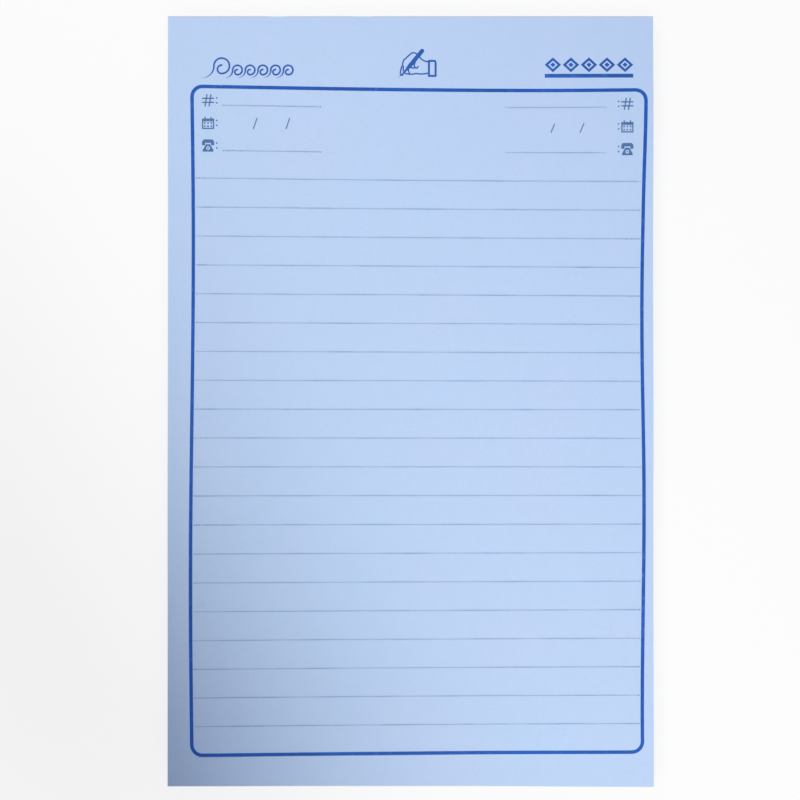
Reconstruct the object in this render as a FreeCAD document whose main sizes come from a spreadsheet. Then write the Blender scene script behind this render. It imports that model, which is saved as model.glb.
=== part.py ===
"""A ruled writing pad, gummed at its head edge, lying on its chipboard back.

The pad is a trimmed stack of sheets, a chipboard back of the same outline and a film of padding
adhesive over the head edge that holds them together. The top sheet is printed with a rounded
frame, dotted writing lines, a header of entry lines with small marks, and three heading figures.

All lengths are millimetres. +Z is up out of the page, +Y runs from the foot to the head of the
page and +X to its right. The origin is the middle of the pad's underside.
"""

import FreeCAD, Part
import math
import os

import Sketcher

SIZES = [
    # the pad itself
    ("pad_width", 128.0, "width of the sheets and of the board"),
    ("sheet_length", 203.0, "length of the sheets and of the board, foot to head"),
    ("sheet_gauge", 0.1, "thickness of one sheet"),
    ("sheet_count", 50, "number of sheets"),
    ("parting_gap", 0.02, "hairline opening between two sheets at a free edge"),
    ("parting_depth", 0.25, "how far that opening runs in from a free edge"),
    ("bond_depth", 1.0, "how far in from the head the adhesive keeps the sheets closed"),
    ("board_gauge", 0.9, "thickness of the chipboard back"),
    ("glue_film", 0.4, "thickness of the adhesive film on the head edge"),
    ("glue_round", 0.3, "rounding of the film's long outer edges"),
    ("ink_gauge", 0.05, "thickness given to the printed ink"),
    # the frame, measured to the middle of its line
    ("left_margin", 6.3, "left edge of the sheet to the frame"),
    ("right_margin", 2.6, "right edge of the sheet to the frame"),
    ("head_margin", 19.3, "head edge of the sheet to the frame"),
    ("foot_margin", 8.7, "foot edge of the sheet to the frame"),
    ("frame_line", 0.92, "width of the frame's line"),
    ("frame_corner", 2.8, "radius of the frame's corners"),
    # the writing lines
    ("header_depth", 23.9, "frame to the first writing line"),
    ("rule_count", 20, "number of writing lines"),
    ("rule_line", 0.22, "width of a writing line and of an entry line"),
    ("rule_clearance", 0.34, "open gap from the frame's line to the end of a writing line"),
    # the header rows
    ("row_drop", 4.5, "frame to the foot of the first header row"),
    ("row_pitch", 5.95, "distance from one header row to the next"),
    ("mark_inset", 2.7, "frame to the header marks, at the left and at the right"),
    ("mark_size", 3.2, "height and width of a header mark"),
    ("mark_line", 0.32, "line width of the header marks"),
    ("mark_slant", 0.5, "sideways lean of the number mark's upright bars"),
    ("post_height", 0.45, "height of the calendar mark's two ring posts"),
    ("band_height", 0.75, "height of the calendar mark's solid band"),
    ("cell_size", 0.4, "side of a day cell in the calendar mark"),
    ("dial_radius", 0.5, "radius of the dial opening in the telephone mark"),
    ("dial_hub", 0.2, "radius of the hub in that opening"),
    ("colon_gap", 0.7, "header mark to the middle of its colon"),
    ("colon_dot", 0.22, "radius of a colon's dots"),
    ("colon_rise", 1.3, "distance between a colon's two dots"),
    ("entry_inset_left", 8.1, "frame to the outer end of an entry line at the left"),
    ("entry_inset_right", 10.1, "frame to the outer end of an entry line at the right"),
    ("entry_length", 26.0, "length of an entry line"),
    ("date_inset_left", 16.1, "frame to the outer stroke of the date row at the left"),
    ("date_inset_right", 15.6, "frame to the outer stroke of the date row at the right"),
    ("date_pitch_left", 8.6, "distance between the two date strokes at the left"),
    ("date_pitch_right", 7.65, "distance between the two date strokes at the right"),
    ("date_height_left", 2.9, "height of a date stroke at the left"),
    ("date_height_right", 2.4, "height of a date stroke at the right"),
    ("date_lean", 1.0, "sideways lean of a date stroke"),
    ("date_line", 0.28, "width of a date stroke"),
    # the heading figures, which stand above the frame
    ("heading_lift", 3.1, "frame to the foot of the heading figures"),
    ("crest_height", 5.4, "height of the scroll's first wave"),
    ("wave_height", 3.5, "height of the scroll's other waves"),
    ("wave_count", 5, "number of the scroll's other waves"),
    ("wave_tuck", 1.4, "how far a wave's tail runs in under the wave before it"),
    ("scroll_line", 0.44, "line width of the scroll"),
    ("lozenge_count", 5, "number of lozenges"),
    ("lozenge_width", 4.3, "width of a lozenge"),
    ("lozenge_height", 3.9, "height of a lozenge"),
    ("lozenge_line", 0.6, "line width of a lozenge"),
    ("lozenge_core", 0.62, "half height of the solid heart of a lozenge"),
    ("lozenge_gap", 0.45, "open gap between two lozenges, and below them"),
    ("bar_height", 1.0, "height of the bar below the lozenges"),
    ("emblem_height", 7.6, "height of the writing hand"),
    ("emblem_line", 0.35, "line width of the hand"),
    ("cuff_line", 0.52, "line width of the cuff"),
    ("pen_width", 1.08, "width of the pen's barrel"),
]

# Places that several pieces share, as expressions of the driving sizes.
MID_SHEET = "(-sizes.glue_film / 2)"
HEAD_EDGE = "((sizes.sheet_length - sizes.glue_film) / 2)"
STACK = "(sizes.sheet_count * sizes.sheet_gauge)"
PRINT_LEVEL = f"(sizes.board_gauge + {STACK})"
FRAME_WIDTH = "(sizes.pad_width - sizes.left_margin - sizes.right_margin)"
FRAME_LENGTH = "(sizes.sheet_length - sizes.head_margin - sizes.foot_margin)"
FRAME_X = "((sizes.left_margin - sizes.right_margin) / 2)"
FRAME_TOP = f"({HEAD_EDGE} - sizes.head_margin)"
FRAME_MID_Y = f"({FRAME_TOP} - {FRAME_LENGTH} / 2)"
RULE_PITCH = f"(({FRAME_LENGTH} - sizes.header_depth) / sizes.rule_count)"
LEFT_MARK = f"(-{FRAME_WIDTH} / 2 + sizes.mark_inset)"
MARK_SHIFT = f"({FRAME_WIDTH} - 2 * sizes.mark_inset - sizes.mark_size)"
SECOND_ROW = "(-sizes.row_drop - sizes.row_pitch)"
THIRD_ROW = "(-sizes.row_drop - 2 * sizes.row_pitch)"
HEADING_FOOT = f"({FRAME_TOP} + sizes.heading_lift)"

doc = FreeCAD.newDocument("legal_pad")


def make_sizes():
    """The sheet of driving dimensions: name, value and meaning, one to a row."""
    sheet = doc.addObject("Spreadsheet::Sheet", "sizes")
    for row, (alias, value, meaning) in enumerate(SIZES, start=1):
        sheet.set(f"A{row}", alias)
        sheet.set(f"B{row}", str(value))
        sheet.set(f"C{row}", meaning)
        sheet.setAlias(f"B{row}", alias)
    doc.recompute()
    return sheet


sizes = make_sizes()


def value(expression):
    """The present value of an expression of the driving sizes."""
    return float(sizes.evalExpression(expression))


def size(alias):
    return value(f"sizes.{alias}")


def bind(thing, **expressions):
    for name, expression in expressions.items():
        thing.setExpression(name, expression)


def place(thing, x="0", y="0", z="0"):
    """Ties the place of a body or of a shape to expressions of the driving sizes."""
    for axis, expression in zip("xyz", (x, y, z)):
        thing.setExpression(f"Placement.Base.{axis}", expression)


def make_body(label, **where):
    body = doc.addObject("PartDesign::Body", label)
    body.Label = label
    place(body, **where)
    return body


def origin_feature(body, role):
    return next(part for part in body.Origin.OriginFeatures if part.Role == role)


def make_sketch(body, name, plane="XY_Plane", lift=None):
    sketch = body.newObject("Sketcher::SketchObject", name)
    sketch.AttachmentSupport = (origin_feature(body, plane), [""])
    sketch.MapMode = "FlatFace"
    if lift:
        bind(sketch, **{"AttachmentOffset.Base.z": lift})
    return sketch


def tie(sketch, kind, points, expression):
    """A dimension of a sketch, held to an expression. Zero puts the point on the axis instead."""
    if expression == "0":
        axis = -2 if kind == "DistanceX" else -1
        sketch.addConstraint(Sketcher.Constraint("PointOnObject", *points[-2:], axis))
        return
    index = sketch.addConstraint(Sketcher.Constraint(kind, *points, value(expression)))
    bind(sketch, **{f"Constraints[{index}]": expression})


def outline(sketch, *corners):
    """A closed run of straight lines. A corner is a pair of expressions, x and y, and two
    neighbours that share one of them make a line that is upright or level."""
    first = sketch.GeometryCount
    count = len(corners)
    points = [FreeCAD.Vector(value(x), value(y), 0) for x, y in corners]
    for i in range(count):
        sketch.addGeometry(Part.LineSegment(points[i], points[(i + 1) % count]))
    for i in range(count):
        after = first + (i + 1) % count
        sketch.addConstraint(Sketcher.Constraint("Coincident", first + i, 2, after, 1))
    for i, corner in enumerate(corners):
        for which, kind, straight in ((0, "DistanceX", "Vertical"), (1, "DistanceY", "Horizontal")):
            if i and corner[which] == corners[i - 1][which]:
                sketch.addConstraint(Sketcher.Constraint(straight, first + i - 1))
            elif i == count - 1 and corner[which] == corners[0][which]:
                sketch.addConstraint(Sketcher.Constraint(straight, first + i))
            else:
                tie(sketch, kind, (-1, 1, first + i, 1), corner[which])


def box(left, bottom, right, top):
    """The corners of an upright rectangle, for an outline."""
    return (left, bottom), (right, bottom), (right, top), (left, top)


def rounded_rectangle(sketch, width, height, radius):
    """A rectangle with round corners about the sketch's origin."""
    first = sketch.GeometryCount
    x, y, r = value(width) / 2, value(height) / 2, value(radius)
    turns = [(x - r, y - r, 0), (r - x, y - r, 90), (r - x, r - y, 180), (x - r, r - y, 270)]
    up = FreeCAD.Vector(0, 0, 1)
    for cx, cy, start in turns:
        circle = Part.Circle(FreeCAD.Vector(cx, cy, 0), up, r)
        begin, end = math.radians(start), math.radians(start + 90)
        sketch.addGeometry(Part.ArcOfCircle(circle, begin, end))
    arcs = [sketch.Geometry[first + i] for i in range(4)]
    for i in range(4):
        line = Part.LineSegment(arcs[i].EndPoint, arcs[(i + 1) % 4].StartPoint)
        sketch.addGeometry(line)
    for i in range(4):
        side = first + 4 + i
        after = first + (i + 1) % 4
        sketch.addConstraint(Sketcher.Constraint("Tangent", first + i, 2, side, 1))
        sketch.addConstraint(Sketcher.Constraint("Tangent", side, 2, after, 1))
        straight = "Horizontal" if i % 2 == 0 else "Vertical"
        sketch.addConstraint(Sketcher.Constraint(straight, side))
    for i in range(1, 4):
        sketch.addConstraint(Sketcher.Constraint("Equal", first, first + i))
    sketch.addConstraint(Sketcher.Constraint("Symmetric", first, 3, first + 2, 3, -1, 1))
    tie(sketch, "Radius", (first,), radius)
    tie(sketch, "DistanceX", (first + 5, 1, first + 7, 1), width)
    tie(sketch, "DistanceY", (first + 6, 1, first + 4, 1), height)


def circle(sketch, x, y, radius):
    middle = FreeCAD.Vector(value(x), value(y), 0)
    up = FreeCAD.Vector(0, 0, 1)
    index = sketch.addGeometry(Part.Circle(middle, up, value(radius)))
    tie(sketch, "Radius", (index,), radius)
    tie(sketch, "DistanceX", (-1, 1, index, 3), x)
    tie(sketch, "DistanceY", (-1, 1, index, 3), y)


def pad_up(body, sketch, length):
    pad = body.newObject("PartDesign::Pad", f"{sketch.Name}_pad")
    pad.Profile = sketch
    bind(pad, Length=length)
    sketch.Visibility = False
    doc.recompute()
    return pad


def print_pad(body, sketch):
    return pad_up(body, sketch, "sizes.ink_gauge")


def repeat(body, originals, direction, count, reach, backwards=False):
    """Copies features along an axis, the last one a given reach away from the first."""
    pattern = body.newObject("PartDesign::LinearPattern", f"{originals[-1].Name}_row")
    pattern.Originals = originals
    pattern.Direction = (origin_feature(body, direction), [""])
    pattern.Reversed = backwards
    bind(pattern, Length=reach, Occurrences=count)
    body.Tip = pattern
    doc.recompute()
    return pattern


def mirror(body, originals):
    """Copies features to the other side of the body's middle plane."""
    mirrored = body.newObject("PartDesign::Mirrored", f"{originals[-1].Name}_mirror")
    mirrored.Originals = originals
    mirrored.MirrorPlane = (origin_feature(body, "YZ_Plane"), [""])
    body.Tip = mirrored
    doc.recompute()
    return mirrored


def make_sheet_block():
    """The stack of sheets, one solid, closed at the head and parted by hairline gaps elsewhere."""
    body = make_body("sheet_block", y=MID_SHEET, z="sizes.board_gauge")
    left, right = "(-sizes.pad_width / 2)", "(sizes.pad_width / 2)"
    foot, head = "(-sizes.sheet_length / 2)", "(sizes.sheet_length / 2)"
    sheet = make_sketch(body, "sheet_outline")
    outline(sheet, *box(left, foot, right, head))
    pad_up(body, sheet, STACK)

    depth = "sizes.parting_depth"
    bonded = f"{head} - sizes.bond_depth"
    gap_top = "sizes.sheet_gauge + sizes.parting_gap / 2"
    gap = make_sketch(body, "parting_outline", lift=gap_top)
    outline(
        gap,
        (f"{left} - {depth}", bonded),
        (f"{left} - {depth}", f"{foot} - {depth}"),
        (f"{right} + {depth}", f"{foot} - {depth}"),
        (f"{right} + {depth}", bonded),
        (f"{right} - {depth}", bonded),
        (f"{right} - {depth}", f"{foot} + {depth}"),
        (f"{left} + {depth}", f"{foot} + {depth}"),
        (f"{left} + {depth}", bonded),
    )
    cut = body.newObject("PartDesign::Pocket", "parting")
    cut.Profile = gap
    bind(cut, Length="sizes.parting_gap")
    gap.Visibility = False
    doc.recompute()
    gaps = "sizes.sheet_count - 1"
    reach = "(sizes.sheet_count - 2) * sizes.sheet_gauge"
    repeat(body, [cut], "Z_Axis", gaps, reach)


def make_backing_board():
    """The stiff chipboard back, trimmed with the sheets."""
    body = make_body("backing_board", y=MID_SHEET)
    board = make_sketch(body, "board_outline")
    left, right = "(-sizes.pad_width / 2)", "(sizes.pad_width / 2)"
    outline(board, *box(left, "(-sizes.sheet_length / 2)", right, "(sizes.sheet_length / 2)"))
    pad_up(body, board, "sizes.board_gauge")


def make_head_glue():
    """The film of padding adhesive brushed over the head edges of the sheets and the board."""
    body = make_body("head_glue", y=HEAD_EDGE)
    section = make_sketch(body, "film_section", plane="YZ_Plane")
    outline(section, *box("0", "0", "sizes.glue_film", PRINT_LEVEL))
    film = pad_up(body, section, "sizes.pad_width")
    film.Midplane = True
    doc.recompute()
    outside = film.Shape.BoundBox.YMax
    long_edges = [
        f"Edge{i}"
        for i, edge in enumerate(film.Shape.Edges, start=1)
        if edge.BoundBox.YMin > outside - 0.001 and edge.BoundBox.XLength > 1
    ]
    rounding = body.newObject("PartDesign::Fillet", "film_rounding")
    rounding.Base = (film, long_edges)
    bind(rounding, Radius="sizes.glue_round")
    body.Tip = rounding


def make_page_frame():
    """The printed frame round the writing field."""
    body = make_body("page_frame", x=FRAME_X, y=FRAME_MID_Y, z=PRINT_LEVEL)
    frame = make_sketch(body, "frame_outline")
    for sign in ("+", "-"):
        rounded_rectangle(
            frame,
            f"{FRAME_WIDTH} {sign} sizes.frame_line",
            f"{FRAME_LENGTH} {sign} sizes.frame_line",
            f"sizes.frame_corner {sign} sizes.frame_line / 2",
        )
    print_pad(body, frame)


def make_ruled_lines():
    """The writing lines, evenly spaced from the header down to the frame's lower line."""
    body = make_body("ruled_lines", x=FRAME_X, y=f"{FRAME_TOP} - sizes.header_depth", z=PRINT_LEVEL)
    end = f"({FRAME_WIDTH} / 2 - sizes.frame_line / 2 - sizes.rule_clearance)"
    half = "sizes.rule_line / 2"
    line = make_sketch(body, "rule_outline")
    outline(line, *box(f"-{end}", f"-{half}", end, half))
    rule = print_pad(body, line)
    reach = f"(sizes.rule_count - 1) * {RULE_PITCH}"
    repeat(body, [rule], "Y_Axis", "sizes.rule_count", reach, backwards=True)


def header_body(label):
    """A body whose origin is the middle of the frame's upper line, which the header hangs from."""
    return make_body(label, x=FRAME_X, y=FRAME_TOP, z=PRINT_LEVEL)


def make_entry_lines():
    """The lines to write on in the first and third header rows, at the left and at the right."""
    body = header_body("entry_lines")
    start = f"(-{FRAME_WIDTH} / 2 + sizes.entry_inset_left)"
    end = f"{start} + sizes.entry_length"
    lines = make_sketch(body, "entry_outline")
    for foot in ("(-sizes.row_drop)", THIRD_ROW):
        outline(lines, *box(start, foot, end, f"{foot} + sizes.rule_line"))
    far_side = (
        f"{FRAME_WIDTH} - sizes.entry_inset_left - sizes.entry_inset_right - sizes.entry_length"
    )
    repeat(body, [print_pad(body, lines)], "X_Axis", "2", far_side)


def make_date_strokes():
    """The two leaning strokes that part day, month and year, at the left and at the right. Those
    at the right are shorter and closer together."""
    body = header_body("date_strokes")
    width, lean = "sizes.date_line", "sizes.date_lean"
    left = f"(-{FRAME_WIDTH} / 2 + sizes.date_inset_left)"
    last = f"({FRAME_WIDTH} / 2 - sizes.date_inset_right - {width} - {lean})"
    strokes = make_sketch(body, "stroke_outline")
    for low, height in (
        (left, "sizes.date_height_left"),
        (f"{left} + sizes.date_pitch_left", "sizes.date_height_left"),
        (f"{last} - sizes.date_pitch_right", "sizes.date_height_right"),
        (last, "sizes.date_height_right"),
    ):
        outline(
            strokes,
            (low, SECOND_ROW),
            (f"{low} + {width}", SECOND_ROW),
            (f"{low} + {width} + {lean}", f"{SECOND_ROW} + {height}"),
            (f"{low} + {lean}", f"{SECOND_ROW} + {height}"),
        )
    print_pad(body, strokes)


def make_number_marks():
    """A hash sign for the number row, at the left and at the right."""
    body = header_body("number_marks")
    foot = "(-sizes.row_drop)"
    third = "sizes.mark_size / 3"
    width, lean = "sizes.mark_line", "sizes.mark_slant"
    uprights = make_sketch(body, "upright_outline")
    for part in ("1", "2"):
        low = f"{LEFT_MARK} + {part} * {third} - {width} / 2 - {lean} / 2"
        outline(
            uprights,
            (low, foot),
            (f"{low} + {width}", foot),
            (f"{low} + {width} + {lean}", f"{foot} + sizes.mark_size"),
            (f"{low} + {lean}", f"{foot} + sizes.mark_size"),
        )
    features = [print_pad(body, uprights)]
    for part in ("1", "2"):
        low = f"{foot} + {part} * {third} - {width} / 2"
        bar = make_sketch(body, f"crossbar_{part}")
        outline(bar, *box(LEFT_MARK, low, f"{LEFT_MARK} + sizes.mark_size", f"{low} + {width}"))
        features.append(print_pad(body, bar))
    repeat(body, features, "X_Axis", "2", MARK_SHIFT)


def make_calendar_marks():
    """A small calendar leaf for the date row: an edge, a solid band, ring posts and day cells."""
    body = header_body("calendar_marks")
    left, right = LEFT_MARK, f"{LEFT_MARK} + sizes.mark_size"
    foot = SECOND_ROW
    top = f"{SECOND_ROW} + sizes.mark_size - sizes.post_height"
    width = "sizes.mark_line"
    leaf = make_sketch(body, "leaf_outline")
    outline(leaf, *box(left, foot, right, top))
    window = (f"{left} + {width}", f"{foot} + {width}", f"{right} - {width}")
    outline(leaf, *box(*window, f"{top} - sizes.band_height"))
    features = [print_pad(body, leaf)]

    posts = make_sketch(body, "post_outline")
    for part in ("1", "3"):
        middle = f"{left} + {part} * sizes.mark_size / 4"
        sides = f"{middle} - {width} / 2", f"{middle} + {width} / 2"
        outline(posts, *box(sides[0], top, sides[1], f"{top} + sizes.post_height"))
    features.append(print_pad(body, posts))

    cells = make_sketch(body, "cell_outline")
    inside = "(sizes.mark_size - 2 * sizes.mark_line)"
    depth = f"(sizes.mark_size - sizes.post_height - sizes.band_height - {width})"
    for column in ("1", "3", "5"):
        for row in ("1", "3"):
            x = f"{left} + {width} + {column} * {inside} / 6 - sizes.cell_size / 2"
            y = f"{foot} + {width} + {row} * {depth} / 4 - sizes.cell_size / 2"
            outline(cells, *box(x, y, f"{x} + sizes.cell_size", f"{y} + sizes.cell_size"))
    features.append(print_pad(body, cells))
    repeat(body, features, "X_Axis", "2", MARK_SHIFT)


def make_telephone_marks():
    """A desk telephone for the third row: a handset over a sloping body with a round dial."""
    body = header_body("telephone_marks")

    def at(across, up):
        return f"{LEFT_MARK} + {across} * sizes.mark_size", f"{THIRD_ROW} + {up} * sizes.mark_size"

    handset = make_sketch(body, "handset_outline")
    outline(
        handset,
        *(at(0, 0.52), at(0.26, 0.52), at(0.26, 0.72), at(0.74, 0.72), at(0.74, 0.52)),
        *(at(1, 0.52), at(1, 0.84), at(0.84, 1), at(0.16, 1), at(0, 0.84)),
    )
    base = make_sketch(body, "base_outline")
    outline(
        base,
        *(at(0.06, 0), at(0.94, 0), at(0.94, 0.14)),
        *(at(0.66, 0.61), at(0.34, 0.61), at(0.06, 0.14)),
    )
    circle(base, *at(0.5, 0.28), "sizes.dial_radius")
    circle(base, *at(0.5, 0.28), "sizes.dial_hub")
    repeat(body, [print_pad(body, handset), print_pad(body, base)], "X_Axis", "2", MARK_SHIFT)


def make_colons():
    """The two dots after each header mark, in three rows, at the left and at the right."""
    body = header_body("mark_colons")
    x = f"{LEFT_MARK} + sizes.mark_size + sizes.colon_gap"
    dots = make_sketch(body, "colon_outline")
    for foot in ("(-sizes.row_drop)", SECOND_ROW, THIRD_ROW):
        for rise in ("0", "sizes.colon_rise"):
            y = f"{foot} + sizes.mark_size / 2 - sizes.colon_rise / 2 + {rise}"
            circle(dots, x, y, "sizes.colon_dot")
    mirror(body, [print_pad(body, dots)])


def make_lozenge_heading():
    """The bold heading figure at the right: a row of lozenges with solid hearts, over a bar."""
    right_end = f"{FRAME_X} + {FRAME_WIDTH} / 2 - sizes.mark_inset"
    body = make_body("lozenge_heading", x=right_end, y=HEADING_FOOT, z=PRINT_LEVEL)
    wide, high = "sizes.lozenge_width / 2", "sizes.lozenge_height / 2"
    middle_x = f"(-{wide})"
    middle_y = f"(sizes.bar_height + sizes.lozenge_gap + {high})"
    slope = f"sqrt(({wide}) ^ 2 + ({high}) ^ 2)"
    inner_wide = f"({wide} - sizes.lozenge_line * {slope} / ({high}))"
    inner_high = f"({high} - sizes.lozenge_line * {slope} / ({wide}))"
    core_wide = "(sizes.lozenge_core * sizes.lozenge_width / sizes.lozenge_height)"

    def diamond(sketch, across, along):
        outline(
            sketch,
            (f"{middle_x} - {across}", middle_y),
            (middle_x, f"{middle_y} - {along}"),
            (f"{middle_x} + {across}", middle_y),
            (middle_x, f"{middle_y} + {along}"),
        )

    ring = make_sketch(body, "lozenge_outline")
    diamond(ring, wide, high)
    diamond(ring, inner_wide, inner_high)
    core = make_sketch(body, "heart_outline")
    diamond(core, core_wide, "sizes.lozenge_core")
    features = [print_pad(body, ring), print_pad(body, core)]
    reach = "(sizes.lozenge_count - 1) * (sizes.lozenge_width + sizes.lozenge_gap)"
    repeat(body, features, "X_Axis", "sizes.lozenge_count", reach, backwards=True)
    bar = make_sketch(body, "bar_outline")
    outline(bar, *box(f"-({reach}) - sizes.lozenge_width", "0", "0", "sizes.bar_height"))
    print_pad(body, bar)


def arc(start, through, end):
    return Part.Arc(*(FreeCAD.Vector(x, y, 0) for x, y in (start, through, end))).toShape()


def line(start, end):
    return Part.LineSegment(FreeCAD.Vector(*start, 0), FreeCAD.Vector(*end, 0)).toShape()


def stroke(width, *edges):
    """The face that a round pen of that width draws along a run of arcs."""
    return Part.Wire(list(edges)).makeOffset2D(width / 2, fill=True)


def bar(width, start, end):
    """The face that a round pen of that width draws from one point straight to another."""
    along = end[0] - start[0], end[1] - start[1]
    scale = width / 2 / math.hypot(*along)
    ahead = along[0] * scale, along[1] * scale
    aside = -ahead[1], ahead[0]

    def beside(point, forward, sideways):
        x = point[0] + forward * ahead[0] + sideways * aside[0]
        return x, point[1] + forward * ahead[1] + sideways * aside[1]

    return patch(
        line(beside(start, 0, -1), beside(end, 0, -1)),
        arc(beside(end, 0, -1), beside(end, 1, 0), beside(end, 0, 1)),
        line(beside(end, 0, 1), beside(start, 0, 1)),
        arc(beside(start, 0, 1), beside(start, -1, 0), beside(start, 0, -1)),
    )


def patch(*edges):
    """The face inside a closed run of edges."""
    return Part.Face(Part.Wire(Part.__sortEdges__(list(edges))))


def print_figure(label, faces, **where):
    """Faces drawn about a figure's own origin, given the thickness of the ink and joined."""
    up = FreeCAD.Vector(0, 0, size("ink_gauge"))
    strokes = [face.extrude(up) for face in faces]
    figure = doc.addObject("Part::Feature", label)
    figure.Label = label
    figure.Shape = strokes[0].multiFuse(strokes[1:]).removeSplitter()
    place(figure, **where)


def on_circle(centre, radius, degrees):
    turn = math.radians(degrees)
    return centre[0] + radius * math.cos(turn), centre[1] + radius * math.sin(turn)


def draw_wave(start, height, width):
    """A wave of a running scroll: a tapered rise, a crest and a curl that turns in under it."""
    rise = 0.58 * height
    crest = height - rise - width / 2
    curl = 0.55 * crest
    top = (start + rise, rise)
    middle = (top[0] + crest, rise)
    turned = (middle[0], middle[1] - crest)
    curl_middle = (turned[0], turned[1] + curl)
    faces = [
        stroke(
            width,
            arc(top, on_circle(middle, crest, 45), turned),
            arc(turned, on_circle(curl_middle, curl, 180), on_circle(curl_middle, curl, 90)),
        )
    ]
    outer, inner = (top[0] + width / 2, rise), (top[0] - width / 2, rise)
    root = (start, 0)
    bend = 0.72
    faces.append(
        patch(
            arc(root, (start + bend * (rise + width / 2), (1 - bend) * rise), outer),
            line(outer, inner),
            arc(inner, (start + bend * (rise - width / 2), (1 - bend) * rise), root),
        )
    )
    return faces, middle[0] + crest + width / 2


def make_scroll_heading():
    """The light heading figure at the left: a running scroll of a tall wave and then low ones."""
    width = size("scroll_line")
    faces, end = draw_wave(0, size("crest_height"), width)
    for _ in range(int(size("wave_count"))):
        wave, end = draw_wave(end - size("wave_tuck"), size("wave_height"), width)
        faces += wave
    left_end = f"{FRAME_X} - {FRAME_WIDTH} / 2 + sizes.mark_inset"
    print_figure("scroll_heading", faces, x=left_end, y=HEADING_FOOT, z=PRINT_LEVEL)


def make_writing_hand():
    """The middle heading figure: a hand in a cuff that holds a slanting pen. It is drawn on a
    grid of which 76 units make its height, from the nib's point upwards."""
    unit = size("emblem_height") / 76

    def at(x, y):
        return x * unit, y * unit

    thin = size("emblem_line")
    pen_top, pen_low, neck, nib = at(12, 71), at(-21, 31), at(-34, 16), at(-51, 0)

    def beside(point, toward, width):
        """The two points that lie level with a point of the pen, half a width to either side."""
        run = toward[0] - point[0], toward[1] - point[1]
        scale = width / 2 / math.hypot(*run)
        aside = -run[1] * scale, run[0] * scale
        return (point[0] + aside[0], point[1] + aside[1]), (point[0] - aside[0], point[1] - aside[1])

    low_left, low_right = beside(pen_low, pen_top, size("pen_width"))
    neck_left, neck_right = beside(neck, pen_low, 1.2 * thin)
    faces = [
        bar(size("pen_width"), pen_low, pen_top),
        patch(
            line(low_left, low_right),
            line(low_right, neck_right),
            line(neck_right, nib),
            line(nib, neck_left),
            line(neck_left, low_left),
        ),
        stroke(thin, arc(at(-1, 61.5), at(-11.5, 66), at(-20, 61.5))),
        bar(thin, at(-20, 61.5), at(-36, 47)),
        stroke(thin, arc(at(-36, 47), at(-38.6, 41), at(-39.5, 34))),
        stroke(thin, arc(at(-39.5, 34), at(-43.5, 24), at(-45, 13))),
        stroke(thin, arc(at(-45, 13), at(-42.5, 7), at(-38, 9))),
        stroke(thin, arc(at(-37, 30), at(-38, 23), at(-34.5, 15))),
        stroke(thin, arc(at(-35, 12.5), at(-20, 9.5), at(-4, 11.5))),
        stroke(thin, arc(at(-4, 11.5), at(13, 10), at(30, 13))),
        stroke(thin, arc(at(30, 43), at(18, 44.5), at(5, 56))),
        stroke(thin, arc(at(-23, 28), at(-24, 20), at(-20.5, 10))),
        stroke(thin, arc(at(-20, 29), at(-13, 26), at(-6.5, 27))),
        stroke(thin, arc(at(-6, 41), at(-8.5, 32), at(-5, 26)), arc(at(-5, 26), at(-1.5, 26), at(1, 30))),
    ]
    left, foot, right, top = at(30, 5) + at(47.5, 44.5)
    bend = 4 * unit
    bent = on_circle((right - bend, top - bend), bend, 45)
    cuff = patch(
        line((left, foot), (right, foot)),
        line((right, foot), (right, top - bend)),
        arc((right, top - bend), bent, (right - bend, top)),
        line((right - bend, top), (left, top)),
        line((left, top), (left, foot)),
    )
    half = size("cuff_line") / 2
    ring = cuff.makeOffset2D(half).cut(cuff.makeOffset2D(-half))
    faces.append(ring.Faces[0])
    print_figure("writing_hand", faces, x=FRAME_X, y=HEADING_FOOT, z=PRINT_LEVEL)


def check_and_export():
    """Stops if anything failed, then writes each piece to a file named by its label."""
    doc.recompute()
    failed = [thing.Name for thing in doc.Objects if {"Invalid", "Error"} & set(thing.State)]
    if failed:
        raise RuntimeError(f"these objects failed: {failed}")
    os.makedirs("parts", exist_ok=True)
    kinds = ("PartDesign::Body", "Part::Feature")
    pieces = [thing for thing in doc.Objects if thing.TypeId in kinds]
    for piece in pieces:
        shape = piece.Shape
        if shape.isNull() or not shape.isValid() or shape.Volume <= 0:
            raise RuntimeError(f"{piece.Label} has no sound shape")
        shape.exportStep(f"parts/{piece.Label}.step")
        bounds = shape.BoundBox
        print(
            f"{piece.Label}: {len(shape.Solids)} solids, {shape.Volume:.2f} mm3,"
            f" x {bounds.XMin:.2f} to {bounds.XMax:.2f}, y {bounds.YMin:.2f} to {bounds.YMax:.2f},"
            f" z {bounds.ZMin:.2f} to {bounds.ZMax:.2f}"
        )


make_sheet_block()
make_backing_board()
make_head_glue()
make_page_frame()
make_ruled_lines()
make_entry_lines()
make_date_strokes()
make_number_marks()
make_calendar_marks()
make_telephone_marks()
make_colons()
make_scroll_heading()
make_writing_hand()
make_lozenge_heading()
check_and_export()
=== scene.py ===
"""The looks of a ruled writing pad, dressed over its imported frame, in metres.

The stack is rebuilt sheet by sheet. The upper sheets are a little cockled and relaxed, and the print
follows the top one. It leans and bows as the real print does, and the writing lines and the entry
lines are fine dots.
"""

import math
import random

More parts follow.
